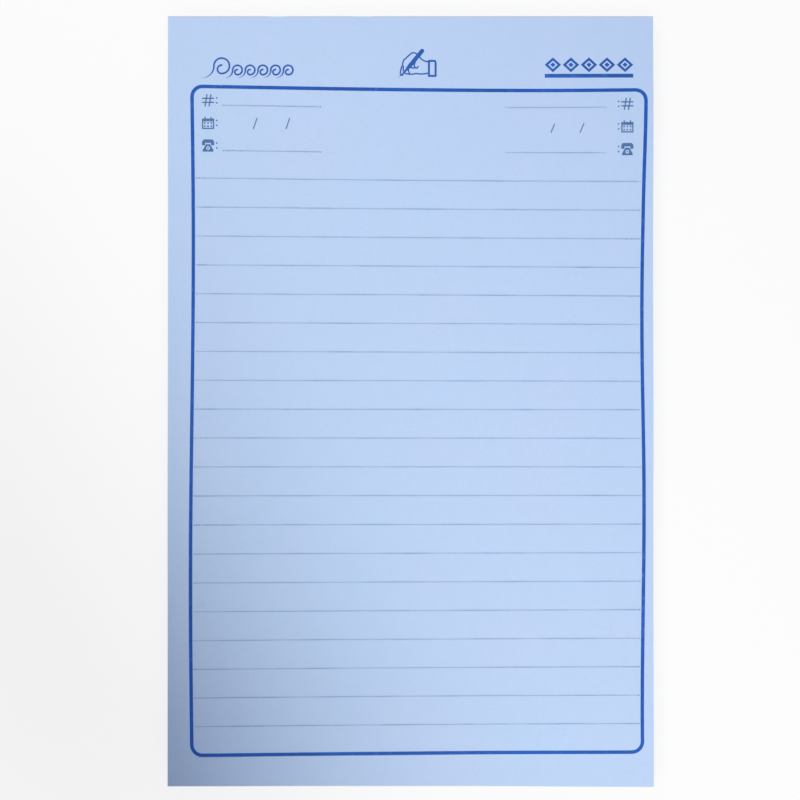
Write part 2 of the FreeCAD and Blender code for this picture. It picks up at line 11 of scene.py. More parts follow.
import bmesh
import bpy
import numpy as np
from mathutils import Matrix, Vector


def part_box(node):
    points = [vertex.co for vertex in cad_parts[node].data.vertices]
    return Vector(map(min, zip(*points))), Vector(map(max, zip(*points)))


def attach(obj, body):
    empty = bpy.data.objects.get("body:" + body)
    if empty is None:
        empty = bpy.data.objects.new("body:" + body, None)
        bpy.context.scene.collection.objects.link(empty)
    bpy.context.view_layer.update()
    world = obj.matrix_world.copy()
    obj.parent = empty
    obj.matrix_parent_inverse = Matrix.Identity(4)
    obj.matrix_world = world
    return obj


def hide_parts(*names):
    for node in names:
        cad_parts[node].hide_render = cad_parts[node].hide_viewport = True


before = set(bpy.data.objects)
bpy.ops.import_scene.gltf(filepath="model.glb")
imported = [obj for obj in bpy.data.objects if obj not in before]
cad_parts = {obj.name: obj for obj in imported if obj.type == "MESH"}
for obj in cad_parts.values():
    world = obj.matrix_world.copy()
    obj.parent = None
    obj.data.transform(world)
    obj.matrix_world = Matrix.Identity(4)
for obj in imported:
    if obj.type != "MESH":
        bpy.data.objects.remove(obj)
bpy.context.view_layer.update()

MM = 0.001

# The frame's own measures
SHEETS_LOW, SHEETS_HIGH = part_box("sheet_block")
BOARD_LOW, BOARD_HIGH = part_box("backing_board")
GLUE_LOW, GLUE_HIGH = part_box("head_glue")
INK_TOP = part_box("page_frame")[1].z
LEFT, FOOT, STACK_FOOT = SHEETS_LOW
RIGHT, HEAD, PAGE_TOP = SHEETS_HIGH
WIDTH, LENGTH = RIGHT - LEFT, HEAD - FOOT
MIDDLE_X = (LEFT + RIGHT) / 2
MIDDLE_Y = (FOOT + HEAD) / 2

# The grids that sheets and print are made on, how near two points count as one, and how sharp an
# edge has to be to look sharp
FINE_STEP = 1.0 * MM
FINE_HEAD = 24.0 * MM
COARSE_STEP = 2.0 * MM
EDGE_STEP = 4.0 * MM
INK_STEP = 2.0 * MM
WELD_REACH = 1e-7
CUT_REACH = 1e-8
RIM_REACH = 1e-6
SHARP_ANGLE = math.radians(30)

# The stack: its sheets, how far they slip and turn, and how many at the top relax or lie calm
SHEET_GAUGE = 0.1 * MM
SHEET_COUNT = round((PAGE_TOP - STACK_FOOT) / SHEET_GAUGE)
SHEET_BODY = 0.086 * MM
STACK_SEED = 7
STACK_WANDER = 0.05 * MM
STACK_WANDER_KEPT = 0.8
STACK_JITTER = 0.05 * MM
SHEET_TURN = 0.0002
CALM_SHEETS = 14
RELAXED_SHEETS = 10
RELAX_POWER = 1.6

# How far the top sheet rises off the stack. Each wave has the place of a crest and a length
BOND = 3.0 * MM
BOND_FADE = 26.0 * MM
SIDE_REACH = (0.1 * WIDTH, 0.5 * WIDTH)
RIGHT_RISE = 0.62 * MM
RIGHT_WAVE = (108 * MM, 88 * MM)
LEFT_RISE = 0.55 * MM
LEFT_WAVE = (138 * MM, 152 * MM)
FOOT_RISE = 0.45 * MM
FOOT_START = 0.72 * LENGTH
FOOT_MIDDLE = 0.35
COCKLE_RISE = 0.1 * MM
COCKLE_SKEW = 0.35
COCKLE_ACROSS = (20 * MM, 47 * MM)
COCKLE_TILT = 0.2
COCKLE_ALONG = (150 * MM, 61 * MM)

# Two small folds at the head edge: where each starts, how far it leans, and how far down it reaches
FOLDS = ((LEFT + 28.5 * MM, -2.6 * MM, 12 * MM), (LEFT + 51.1 * MM, -1.8 * MM, 8 * MM))
FOLD_RISE = 0.16 * MM
FOLD_SPREAD = 1.2 * MM
FOLD_START = (0.5 * MM, 3 * MM)
FOLD_FULL = 0.55

# The board: its crushed rim, its frayed sides and its gap to the sheets
BOARD_SEED = 3
BOARD_CRUSH = 0.12 * MM
BOARD_FRAY = 0.03 * MM
BOARD_GAP = 0.01 * MM

# The adhesive: it thins out toward the page, by a share of the height, and ripples along the head.
# Each ripple has a depth, a rate along the head and a rate up the edge
GLUE_STEP = 0.3 * MM
GLUE_TAPER = 0.26
GLUE_SINK = 0.05 * MM
GLUE_LEAST = 0.12
GLUE_SQUARENESS = 8
GLUE_MEAN = 0.78
GLUE_RIPPLES = ((0.12, 210.0, 3.0), (0.1, 610.0, -5.0))

# How deep the ink sits in the sheet
INK_SINK = 0.01 * MM

# The dots of a printed line: their size, and how it swells, wanders and scatters along the line
DOT_SEED = 11
DOT_RADIUS = 0.165 * MM
DOT_PITCH = 0.66 * MM
DOT_SIDES = 8
DOT_JITTER = 0.02 * MM
DOT_SWELL = 0.09
DOT_SWELL_PHASE = 6.0
DOT_SWELL_LENGTH = (18.0 * MM, 34.0 * MM)
DOT_WANDER = 0.06
DOT_WANDER_KEPT = 0.6
DOT_SCATTER = (0.84, 1.14)

# How far the frame and the writing lines stray from square on their sheet. Each fade has the
# distances below the head that it starts and ends at
PRINT_DROP = 0.05 * MM
PRINT_LEAN = 0.12 * MM
PRINT_TWIST = 0.74 * MM
PRINT_SAG = 0.2 * MM
SAG_START = (105 * MM, 150 * MM)
SAG_END = (160 * MM, 198 * MM)
HEAD_BOW = 0.3 * MM
HEAD_BOW_FADE = (18 * MM, 75 * MM)
LEFT_BOW = 0.72 * MM
LEFT_BOW_WAVE = (63.5 * MM, 170 * MM)
LEFT_BOW_MEAN = 0.4
RIGHT_BOW = 0.58 * MM
RIGHT_BOW_WAVE = (29.5 * MM, 105 * MM)
RIGHT_BOW_MEAN = 0.72
CORNER_FLARE = 0.62 * MM
CORNER_FADE = (15 * MM, 48 * MM)
CORNER_RISE = 0.6

# How much lower the header is printed at the right than at the left
ENTRY_DROP = 0.42 * MM
MARK_DROP = 1.0 * MM

# The view and its frame, in the photograph's pixels
IMAGE_WIDTH = 800
PAD_PIXELS_X = (168.0, 653.1)
PAD_PIXELS_Y = (16.1, 786.1)
CAMERA_HEIGHT = 340.0 * MM
SENSOR = 36.0

# Light, as shares of the level at which a colour renders as it is written
KEY_SHARE = 0.75
KEY_PLACE = (-0.033, -0.161, 0.39)
KEY_AIM = (0.02, -0.03, 0.0)
KEY_SIZE = 0.446
HEAD_LAMP_SHARE = 0.145
HEAD_LAMP_PLACE = (-0.143, 0.285, 0.3415)
HEAD_LAMP_AIM = (0.0, 0.06, 0.0)
HEAD_LAMP_SIZE = 0.146
LAMP_TINT = (1.03, 1.0, 0.84)
FILL_SHARE = 0.395
FILL_TINT = (0.95, 1.0, 1.31)

# The floor, and how far from its middle it starts and ends to turn white
FLOOR_SIZE = 4.0
FLOOR_DROP = 0.02 * MM
FLOOR_TONE = 0.9
FLOOR_WHITE = 0.82
FLOOR_FADE = (0.11, 0.35)

# A card that softly shades the page's lower left corner, from outside the view
CARD_SIZE = (0.105, 0.23)
CARD_HEIGHT = 0.083
CARD_REACH = 0.081
CARD_TURN = math.radians(209.9)
CARD_TONE = 0.2

# Colours, with tints that they vary between, and how far the thinnest ink covers the paper
PAPER = (0.505, 0.655, 0.90)
PAPER_COOL = (0.985, 1.0, 1.0)
PAPER_WARM = (1.02, 0.995, 0.997)
FRAME_INK = (0.009, 0.1, 0.47)
HEADING_INK = (0.018, 0.11, 0.455)
LABEL_INK = (0.08, 0.175, 0.38)
DOT_INK = (0.125, 0.245, 0.455)
INK_DEEP = (0.9, 0.9, 0.9)
INK_COVER = 0.86
BOARD_DARK = (0.285, 0.222, 0.152)
BOARD_PALE = (0.365, 0.295, 0.21)
BOARD_FLECK = (0.12, 0.09, 0.065)
GLUE_DEEP = (0.62, 0.68, 0.72)
GLUE_PALE = (0.76, 0.79, 0.8)
GLUE_THIN = (0.9, 0.94, 1.0)
WHITE = (1.0, 1.0, 1.0)


def smooth_step(low, high, value):
    share = np.clip((value - low) / (high - low), 0.0, 1.0)
    return share * share * (3.0 - 2.0 * share)


def wave(distance, crest, length):
    """A wave between 0 and 1 along a distance, with a crest at the given place."""
    return 0.5 + 0.5 * np.cos(2.0 * np.pi * (distance - crest) / length)


def fold(x, y, start_x, run, reach):
    """A faint ridge that runs down from the head edge, leaning sideways by run over its reach."""
    down = HEAD - y
    ridge = start_x + run * down / reach
    along = smooth_step(*FOLD_START, down) * (1.0 - smooth_step(FOLD_FULL * reach, reach, down))
    return along * np.exp(-((x - ridge) / FOLD_SPREAD) ** 2)


def rise(x, y):
    """How far the top sheet stands off the stack at a place. It is never below 0."""
    down = HEAD - y
    free = smooth_step(BOND, BOND + BOND_FADE, down)
    right = smooth_step(*SIDE_REACH, x - MIDDLE_X) * wave(down, *RIGHT_WAVE)
    left = smooth_step(*SIDE_REACH, MIDDLE_X - x) * wave(down, *LEFT_WAVE)
    foot = smooth_step(FOOT_START, LENGTH, down)
    foot_profile = FOOT_MIDDLE + (1.0 - FOOT_MIDDLE) * ((x - MIDDLE_X) / (0.5 * WIDTH)) ** 2
    cockle = wave(x + COCKLE_SKEW * down, *COCKLE_ACROSS) * wave(down - COCKLE_TILT * x, *COCKLE_ALONG)
    return (
        free * (RIGHT_RISE * right + LEFT_RISE * left + COCKLE_RISE * cockle)
        + FOOT_RISE * foot * foot_profile
        + FOLD_RISE * sum(fold(x, y, *measures) for measures in FOLDS)
    )


def stray(x, y):
    """How far the print lies from its place on a square sheet: to the right, and up the page."""
    u, v = (x - MIDDLE_X) / (0.5 * WIDTH), (y - MIDDLE_Y) / (0.5 * LENGTH)
    down = HEAD - y
    left = LEFT_BOW * (wave(down, *LEFT_BOW_WAVE) - LEFT_BOW_MEAN)
    right = RIGHT_BOW * (wave(down, *RIGHT_BOW_WAVE) - RIGHT_BOW_MEAN)
    across = left + (right - left) * (u + 1.0) / 2.0
    sag = smooth_step(*SAG_START, down) * (1.0 - smooth_step(*SAG_END, down))
    bow = HEAD_BOW * u * u * (1.0 - smooth_step(*HEAD_BOW_FADE, down))
    flare = CORNER_FLARE * np.maximum(u, 0.0) ** 3 * (1.0 - smooth_step(*CORNER_FADE, down))
    along = bow - PRINT_DROP - PRINT_SAG * sag - PRINT_LEAN * u - PRINT_TWIST * u * v
    return across + flare, along + CORNER_RISE * flare


def add_object(name, data):
    thing = bpy.data.objects.new(name, data)
    bpy.context.scene.collection.objects.link(thing)
    return thing


def dress(piece, material, slot_name, *nodes, smooth=False):
    """Gives a piece its material, and puts it on the pad in place of CAD nodes. Its slot name is not
    used.
    """
    piece.data.materials.clear()
    piece.data.materials.append(material)
    if smooth:
        piece.data.shade_smooth()
        piece.data.set_sharp_from_angle(angle=SHARP_ANGLE)
    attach(piece, "root")
    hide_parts(*nodes)


def make_piece(name, vertices, faces, material, slot_name, *nodes, smooth=False):
    mesh = bpy.data.meshes.new(name)
    mesh.from_pydata(vertices, [], faces)
    mesh.update()
    dress(add_object(name, mesh), material, slot_name, *nodes, smooth=smooth)


def spaced(low, high, step):
    return np.linspace(low, high, max(2, math.ceil(abs(high - low) / step) + 1))


def slab(xs, ys, low_of, high_of):
    """A closed slab over a grid of places: its vertices and its faces."""
    across, along = len(xs), len(ys)
    grid_x, grid_y = np.meshgrid(xs, ys)
    top = np.stack([grid_x, grid_y, high_of(grid_x, grid_y)], axis=-1).reshape(-1, 3)
    bottom = np.stack([grid_x, grid_y, low_of(grid_x, grid_y)], axis=-1).reshape(-1, 3)
    count = across * along
    faces = []
    for j in range(along - 1):
        for i in range(across - 1):
            a = j * across + i
            b, c, d = a + 1, a + across + 1, a + across
            faces.append((a, b, c, d))
            faces.append((count + d, count + c, count + b, count + a))
    rim = list(range(across))
    rim += [j * across + across - 1 for j in range(1, along)]
    rim += [(along - 1) * across + i for i in range(across - 2, -1, -1)]
    rim += [j * across for j in range(along - 2, 0, -1)]
    for k, a in enumerate(rim):
        b = rim[(k + 1) % len(rim)]
        faces.append((a, count + a, count + b, b))
    return np.concatenate([top, bottom]), faces


def turned(vertices, slip, angle):
    """Slips and turns a sheet about the middle of its head edge, which the adhesive holds."""
    cos, sin = math.cos(angle), math.sin(angle)
    x = vertices[:, 0] - MIDDLE_X
    y = vertices[:, 1] - HEAD
    moved = vertices.copy()
    moved[:, 0] = MIDDLE_X + cos * x - sin * y + slip
    moved[:, 1] = HEAD + sin * x + cos * y
    return moved


def join(parts):
    """One list of vertices and one of faces, from several."""
    vertices, faces, offset = [], [], 0
    for part_vertices, part_faces in parts:
        vertices.append(np.asarray(part_vertices))
        faces += [tuple(offset + k for k in face) for face in part_faces]
        offset += len(part_vertices)
    return np.concatenate(vertices), faces


def top_grid():
    """The top sheet's grid, finer across its head, where the folds are."""
    body = spaced(FOOT, HEAD - FINE_HEAD, COARSE_STEP)
    head = spaced(HEAD - FINE_HEAD, HEAD, FINE_STEP)
    return spaced(LEFT, RIGHT, FINE_STEP), np.concatenate([body[:-1], head])


def lay_sheet(grid, floor, thickness, share):
    """A sheet on the level of its floor, which takes a share of the top sheet's rise."""

    def low_of(x, y):
        return floor + share * rise(x, y)

    def high_of(x, y):
        return floor + thickness + share * rise(x, y)

    return slab(*grid, low_of, high_of)


def make_sheets(page_paper, edge_paper):
    """Every sheet of the stack. The lowest lie flat, and the upper ones share out the rise."""
    chance = random.Random(STACK_SEED)
    flat_grid = (np.array([LEFT, RIGHT]), np.array([FOOT, HEAD]))
    relaxed_grid = (spaced(LEFT, RIGHT, EDGE_STEP), spaced(FOOT, HEAD, EDGE_STEP))
    parts = []
    drift = 0.0
    for number in range(SHEET_COUNT - 1):
        below_top = SHEET_COUNT - 1 - number
        share = max(0.0, 1.0 - below_top / RELAXED_SHEETS) ** RELAX_POWER
        floor = STACK_FOOT + number * SHEET_GAUGE
        drift = STACK_WANDER_KEPT * drift + chance.gauss(0.0, STACK_WANDER)
        calm = min(1.0, below_top / CALM_SHEETS)
        slip = calm * (drift + chance.gauss(0.0, STACK_JITTER))
        angle = chance.gauss(0.0, SHEET_TURN)
        grid = relaxed_grid if share > 0 else flat_grid
        vertices, faces = lay_sheet(grid, floor, SHEET_BODY, share)
        vertices = turned(vertices, slip, angle)
        vertices[:, 1] -= calm * abs(chance.gauss(0.0, STACK_JITTER))
        parts.append((vertices, faces))
    make_piece("under_sheets", *join(parts), edge_paper, "paper", "sheet_block", smooth=True)

    top = lay_sheet(top_grid(), PAGE_TOP - SHEET_GAUGE, SHEET_GAUGE, 1.0)
    make_piece("top_sheet", *top, page_paper, "paper", "sheet_block", smooth=True)


def copy_of(node):
    """A node's own mesh, welded, to be worked on."""
    mesh = bmesh.new()
    mesh.from_mesh(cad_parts[node].data)
    bmesh.ops.remove_doubles(mesh, verts=mesh.verts, dist=WELD_REACH)
    return mesh


def cut_along(mesh, axis, low, high, step):
    """Cuts a mesh at evenly spaced planes, so that it can follow the sheet below it."""
    normal = tuple(1.0 if k == axis else 0.0 for k in range(3))
    for place in np.arange(low + step, high, step):
        centre = tuple(place if k == axis else 0.0 for k in range(3))
        everything = mesh.verts[:] + mesh.edges[:] + mesh.faces[:]
        bmesh.ops.bisect_plane(mesh, geom=everything, dist=CUT_REACH, plane_co=centre, plane_no=normal)


def make_printed(node, material, slot_name, strays=False, drop=0.0):
    """A printed node again, laid on the cockled top sheet. A drop lowers its right half."""
    low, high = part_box(node)
    mesh = copy_of(node)
    cut_along(mesh, 0, low.x, high.x, INK_STEP)
    cut_along(mesh, 1, low.y, high.y, INK_STEP)
    for vertex in mesh.verts:
        if vertex.co.x > MIDDLE_X:
            vertex.co.y -= drop
        if strays:
            across, along = stray(vertex.co.x, vertex.co.y)
            vertex.co.x += float(across)
            vertex.co.y += float(along)
        lift = float(rise(vertex.co.x, vertex.co.y))
        sunk = INK_SINK if vertex.co.z < (PAGE_TOP + INK_TOP) / 2 else 0.0
        vertex.co.z += lift - sunk
    bmesh.ops.triangulate(mesh, faces=mesh.faces[:])
    data = bpy.data.meshes.new(f"{node}_print")
    mesh.to_mesh(data)
    mesh.free()
    dress(add_object(f"{node}_print", data), material, slot_name, node)


def strips_of(node):
    """The lowest and highest corner of each separate strip in a node, from the head down."""
    mesh = copy_of(node)
    waiting = set(mesh.verts)
    strips = []
    while waiting:
        found, front = set(), [waiting.pop()]
        while front:
            vertex = front.pop()
            found.add(vertex)
            for edge in vertex.link_edges:
                other = edge.other_vert(vertex)
                if other in waiting:
                    waiting.discard(other)
                    front.append(other)
        places = np.array([vertex.co[:] for vertex in found])
        strips.append((places.min(axis=0), places.max(axis=0)))
    mesh.free()
    return sorted(strips, key=lambda strip: (-strip[0][1], strip[0][0]))


def dot(x, y, radius, start):
    """A printed dot: a low prism that stands on the top sheet."""
    level = PAGE_TOP + float(rise(x, y))
    vertices = []
    for z in (level - INK_SINK, level + INK_TOP - PAGE_TOP):
        for k in range(DOT_SIDES):
            turn = start + 2.0 * math.pi * k / DOT_SIDES
            vertices.append((x + radius * math.cos(turn), y + radius * math.sin(turn), z))
    faces = [tuple(range(DOT_SIDES - 1, -1, -1)), tuple(range(DOT_SIDES, 2 * DOT_SIDES))]
    for k in range(DOT_SIDES):
        after = (k + 1) % DOT_SIDES
        faces.append((k, after, DOT_SIDES + after, DOT_SIDES + k))
    return vertices, faces


def make_dotted(node, material, held=False):
    """The dots of a node's printed lines, evenly spaced, each a little uneven in size. A line that
    is held leans with the print but keeps its place, or drops if it is at the right."""
    chance = random.Random(DOT_SEED)
    dots = []
    for low, high in strips_of(node):
        y = (low[1] + high[1]) / 2
        kept = np.zeros(2)
        if held:
            middle = (low[0] + high[0]) / 2
            kept = np.array(stray(middle, y))
            y -= ENTRY_DROP if middle > MIDDLE_X else 0.0
        count = round((high[0] - low[0]) / DOT_PITCH)
        phase = chance.uniform(0.0, DOT_SWELL_PHASE)
        length = chance.uniform(*DOT_SWELL_LENGTH)
        drift = 0.0
        for x in np.linspace(low[0] + DOT_RADIUS, high[0] - DOT_RADIUS, count):
            swell = 1.0 + DOT_SWELL * math.sin(phase + 2.0 * math.pi * float(x) / length)
            drift = DOT_WANDER_KEPT * drift + chance.gauss(0.0, DOT_WANDER)
            radius = DOT_RADIUS * swell * (1.0 + drift) * chance.uniform(*DOT_SCATTER)
            across, along = np.array(stray(x, y)) - kept
            place = float(y + along) + chance.gauss(0.0, DOT_JITTER)
            dots.append(dot(float(x + across), place, radius, chance.uniform(0.0, 1.0)))
    make_piece(f"{node}_dots", *join(dots), material, "rule_ink", node)


def new_material(name, roughness, specular=0.25):
    material = bpy.data.materials.new(name)
    material.use_nodes = True
    nodes = material.node_tree.nodes
    shader = nodes["Principled BSDF"]
    shader.inputs["Roughness"].default_value = roughness
    shader.inputs["Specular IOR Level"].default_value = specular
    return material, nodes, material.node_tree.links, shader


def noise(nodes, links, place, scale, detail, stretch=None):
    """A noise value over the object, in its own metres. Stretch draws it out along an axis."""
    if stretch:
        mapping = nodes.new("ShaderNodeMapping")
        mapping.inputs["Scale"].default_value = stretch
        links.new(place, mapping.inputs["Vector"])
        place = mapping.outputs["Vector"]
    texture = nodes.new("ShaderNodeTexNoise")
    texture.inputs["Scale"].default_value = scale
    texture.inputs["Detail"].default_value = detail
    links.new(place, texture.inputs["Vector"])
    return texture.outputs["Fac"]


def ramp(nodes, links, value, stops):
    """A colour or level for each value, through a list of places and colours."""
    scale = nodes.new("ShaderNodeValToRGB")
    elements = scale.color_ramp.elements
    while len(elements) < len(stops):
        elements.new(0.5)
    for element, (place, colour) in zip(elements, stops):
        element.position = place
        element.color = (*colour, 1.0)
    links.new(value, scale.inputs["Fac"])
    return scale.outputs["Color"]


def blend(nodes, links, kind, share, first, second):
    mix = nodes.new("ShaderNodeMix")
    mix.data_type = "RGBA"
    mix.blend_type = kind
    for name, value in (("Factor", share), ("A", first), ("B", second)):
        socket = next(s for s in mix.inputs if s.name == name and s.enabled)
        if isinstance(value, bpy.types.NodeSocket):
            links.new(value, socket)
        else:
            socket.default_value = value
    return next(s for s in mix.outputs if s.enabled)


def mottle(nodes, links, colour, value, *stops):
    """A colour made darker or paler by a value, through places and the levels at them."""
    tone = ramp(nodes, links, value, [(place, (level,) * 3) for place, level in stops])
    return blend(nodes, links, "MULTIPLY", 1.0, colour, tone)


def bump(nodes, links, shader, *layers):
    """Stacks bump layers, each a height, a strength and a depth in metres."""
    normal = None
    for height, strength, depth in layers:
        layer = nodes.new("ShaderNodeBump")
        layer.inputs["Strength"].default_value = strength
        layer.inputs["Distance"].default_value = depth
        links.new(height, layer.inputs["Height"])
        if normal:
            links.new(normal, layer.inputs["Normal"])
        normal = layer.outputs["Normal"]
    links.new(normal, shader.inputs["Normal"])


def tinted(colour, tint):
    return tuple(channel * share for channel, share in zip(colour, tint))


def make_paper(name, sheets_differ):
    """Uncoated writing paper, faintly clouded and with fine fibres. Where the cut edges show, each
    sheet may have a tone of its own."""
    material, nodes, links, shader = new_material(name, roughness=0.82)
    place = nodes.new("ShaderNodeTexCoord").outputs["Object"]
    clouds = noise(nodes, links, place, scale=40.0, detail=2.0)
    stops = [(0.3, tinted(PAPER, PAPER_COOL)), (0.7, tinted(PAPER, PAPER_WARM))]
    colour = ramp(nodes, links, clouds, stops)
    formation = noise(nodes, links, place, scale=420.0, detail=5.0)
    colour = mottle(nodes, links, colour, formation, (0.25, 0.99), (0.75, 1.01))
    fibres = noise(nodes, links, place, scale=1500.0, detail=6.0, stretch=(0.75, 1.0, 1.0))
    colour = mottle(nodes, links, colour, fibres, (0.3, 0.982), (0.62, 1.008))
    if sheets_differ:
        island = nodes.new("ShaderNodeNewGeometry").outputs["Random Per Island"]
        colour = mottle(nodes, links, colour, island, (0.0, 0.86), (1.0, 1.03))
    links.new(colour, shader.inputs["Base Color"])
    bump(nodes, links, shader, (formation, 0.25, 0.05 * MM), (fibres, 0.4, 0.03 * MM))
    return material


def make_ink(name, colour):
    """Offset ink on uncoated paper: uneven in density, with the fibres showing through."""
    material, nodes, links, shader = new_material(name, roughness=0.6)
    place = nodes.new("ShaderNodeTexCoord").outputs["Object"]
    density = noise(nodes, links, place, scale=900.0, detail=5.0)
    darker = tinted(colour, INK_DEEP)
    lighter = tuple(c * INK_COVER + p * (1.0 - INK_COVER) for c, p in zip(colour, PAPER))
    inked = ramp(nodes, links, density, [(0.3, darker), (0.6, colour), (0.78, lighter)])
    patches = noise(nodes, links, place, scale=60.0, detail=2.0)
    inked = mottle(nodes, links, inked, patches, (0.3, 0.86), (0.7, 1.08))
    links.new(inked, shader.inputs["Base Color"])
    bump(nodes, links, shader, (density, 0.3, 0.02 * MM))
    return material


def make_chipboard():
    """Grey-brown recycled board with darker and paler flecks."""
    material, nodes, links, shader = new_material("pad_chipboard", roughness=0.9)
    place = nodes.new("ShaderNodeTexCoord").outputs["Object"]
    clouds = noise(nodes, links, place, scale=90.0, detail=4.0)
    colour = ramp(nodes, links, clouds, [(0.3, BOARD_DARK), (0.7, BOARD_PALE)])
    grain = noise(nodes, links, place, scale=700.0, detail=6.0, stretch=(0.35, 1.0, 1.0))
    colour = mottle(nodes, links, colour, grain, (0.3, 0.82), (0.7, 1.1))
    flecks = nodes.new("ShaderNodeTexVoronoi")
    flecks.inputs["Scale"].default_value = 420.0
    links.new(place, flecks.inputs["Vector"])
    speck = flecks.outputs["Distance"]
    dark = ramp(nodes, links, speck, [(0.1, WHITE), (0.16, (0.0, 0.0, 0.0))])
    colour = blend(nodes, links, "MIX", dark, colour, (*BOARD_FLECK, 1.0))
    links.new(colour, shader.inputs["Base Color"])
    bump(nodes, links, shader, (grain, 0.6, 0.08 * MM), (speck, 0.2, 0.03 * MM))
    return material


def make_adhesive():
    """Dried padding adhesive: milky, a little shiny, brushed on across the head."""
    material, nodes, links, shader = new_material("pad_adhesive", roughness=0.38)
    shader.inputs["Subsurface Weight"].default_value = 0.25
    shader.inputs["Subsurface Radius"].default_value = (0.4 * MM, 0.4 * MM, 0.4 * MM)
    shader.inputs["Subsurface Scale"].default_value = 1.0
    place = nodes.new("ShaderNodeTexCoord").outputs["Object"]
    strokes = noise(nodes, links, place, scale=500.0, detail=4.0, stretch=(0.06, 1.0, 1.0))
    colour = ramp(nodes, links, strokes, [(0.3, GLUE_DEEP), (0.7, GLUE_PALE)])
    thin = noise(nodes, links, place, scale=140.0, detail=3.0)
    thin_tone = ramp(nodes, links, thin, [(0.35, GLUE_THIN), (0.65, WHITE)])
    colour = blend(nodes, links, "MULTIPLY", 1.0, colour, thin_tone)
    links.new(colour, shader.inputs["Base Color"])
    bump(nodes, links, shader, (strokes, 0.7, 0.08 * MM), (thin, 0.4, 0.1 * MM))
    return material


def make_board(material):
    """The chipboard back, its trimmed edges slightly crushed."""
    chance = random.Random(BOARD_SEED)
    xs = spaced(BOARD_LOW.x, BOARD_HIGH.x, EDGE_STEP)
    ys = spaced(BOARD_LOW.y, BOARD_HIGH.y, EDGE_STEP)

    def inset(x, y):
        to_rim = (x - BOARD_LOW.x, BOARD_HIGH.x - x, y - BOARD_LOW.y, BOARD_HIGH.y - y)
        return np.where(np.minimum.reduce(to_rim) < RIM_REACH, BOARD_CRUSH, 0.0)

    def low_of(x, y):
        return BOARD_LOW.z + inset(x, y)

    def high_of(x, y):
        return BOARD_HIGH.z - inset(x, y) - BOARD_GAP

    vertices, faces = slab(xs, ys, low_of, high_of)
    to_side = np.minimum(np.abs(vertices[:, 0] - BOARD_LOW.x), np.abs(vertices[:, 0] - BOARD_HIGH.x))
    for k in np.flatnonzero(to_side < RIM_REACH):
        vertices[k, 0] += chance.uniform(-BOARD_FRAY, BOARD_FRAY)
    make_piece("chipboard_back", vertices, faces, material, "chipboard", "backing_board")


def make_glue(material):
    """The adhesive over the head edge, thicker in some places than in others."""
    xs = spaced(GLUE_LOW.x, GLUE_HIGH.x, COARSE_STEP)
    levels = spaced(GLUE_LOW.z, GLUE_HIGH.z, GLUE_STEP)
    thickness = GLUE_HIGH.y - GLUE_LOW.y
    height = GLUE_HIGH.z - GLUE_LOW.z

    def back(x, z):
        share = (z - GLUE_LOW.z) / height
        belly = np.sqrt(np.clip(1.0 - (2.0 * share - 1.0) ** GLUE_SQUARENESS, 0.0, 1.0))
        ripples = sum(depth * np.sin(x * along + up * share) for depth, along, up in GLUE_RIPPLES)
        full = thickness * (GLUE_LEAST + (1.0 - GLUE_LEAST) * belly * (GLUE_MEAN + ripples))
        return HEAD + np.minimum(full, GLUE_TAPER * (GLUE_HIGH.z - z))

    def front(x, z):
        return np.full_like(x, HEAD - GLUE_SINK)

    vertices, faces = slab(xs, levels, front, back)
    upright = vertices[:, [0, 2, 1]]
    flipped = [tuple(reversed(face)) for face in faces]
    make_piece("head_adhesive", upright, flipped, material, "padding_glue", "head_glue")


def camera_share(nodes, links):
    """1 for what the camera, a mirror or glass sees, and 0 for the light that falls on things."""
    path = nodes.new("ShaderNodeLightPath")
    total = path.outputs["Is Camera Ray"]
    for name in ("Is Glossy Ray", "Is Transmission Ray"):
        add = nodes.new("ShaderNodeMath")
        add.operation = "MAXIMUM"
        links.new(total, add.inputs[0])
        links.new(path.outputs[name], add.inputs[1])
        total = add.outputs["Value"]
    return total


def make_floor():
    """A pale floor that keeps the pad's shade, and turns white with distance."""
    bpy.ops.mesh.primitive_plane_add(size=FLOOR_SIZE, location=(0.0, 0.0, BOARD_LOW.z - FLOOR_DROP))
    floor = bpy.context.object
    floor.name = "floor"
    material, nodes, links, shader = new_material("pale_floor", roughness=0.9, specular=0.1)
    shader.inputs["Base Color"].default_value = (FLOOR_TONE, FLOOR_TONE, FLOOR_TONE, 1.0)
    white = nodes.new("ShaderNodeEmission")
    white.inputs["Color"].default_value = (*WHITE, 1.0)
    reach = nodes.new("ShaderNodeVectorMath")
    reach.operation = "LENGTH"
    links.new(nodes.new("ShaderNodeTexCoord").outputs["Object"], reach.inputs[0])
    fade = nodes.new("ShaderNodeMapRange")
    for name, value in zip(("From Min", "From Max", "To Min", "To Max"), (*FLOOR_FADE, FLOOR_WHITE, 1.0)):
        fade.inputs[name].default_value = value
    links.new(reach.outputs["Value"], fade.inputs["Value"])
    share = nodes.new("ShaderNodeMath")
    share.operation = "MULTIPLY"
    links.new(camera_share(nodes, links), share.inputs[0])
    links.new(fade.outputs["Result"], share.inputs[1])
    mix = nodes.new("ShaderNodeMixShader")
    links.new(share.outputs["Value"], mix.inputs["Fac"])
    links.new(shader.outputs["BSDF"], mix.inputs[1])
    links.new(white.outputs["Emission"], mix.inputs[2])
    links.new(mix.outputs["Shader"], nodes["Material Output"].inputs["Surface"])
    floor.data.materials.append(material)


